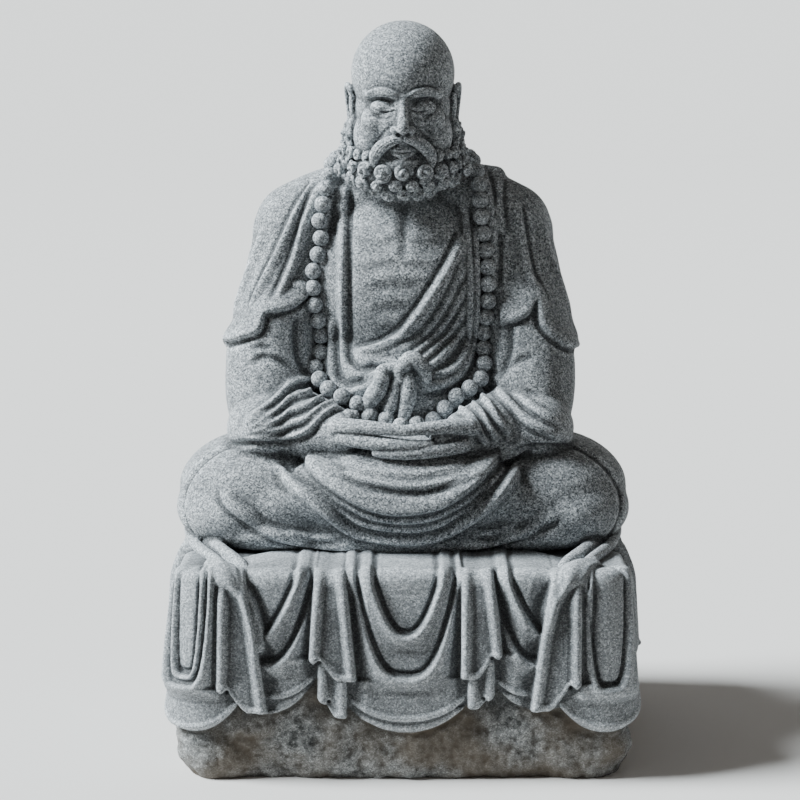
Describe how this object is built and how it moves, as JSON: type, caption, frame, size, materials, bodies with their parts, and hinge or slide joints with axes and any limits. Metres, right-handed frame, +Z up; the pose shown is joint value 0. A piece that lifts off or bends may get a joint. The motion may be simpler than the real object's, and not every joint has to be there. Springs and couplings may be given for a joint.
{
  "type": "bodhidharma statue",
  "caption": "Stone statue of a bearded monk seated in meditation with a bead strand, on a cloth-draped block above rough rock.",
  "frame": {"origin": "on the ground under the middle of the seat, in the flat underside", "axes": "+Z up, the figure faces -Y, +X to the right of someone who looks at its front"},
  "size_m": [0.5253, 0.4465, 0.8009],
  "materials": {
    "granite": "rough, finely speckled, with brown dirt low on the rock"
  },
  "bodies": {
    "root": {"statue": "granite"}
  },
  "joints": []
}
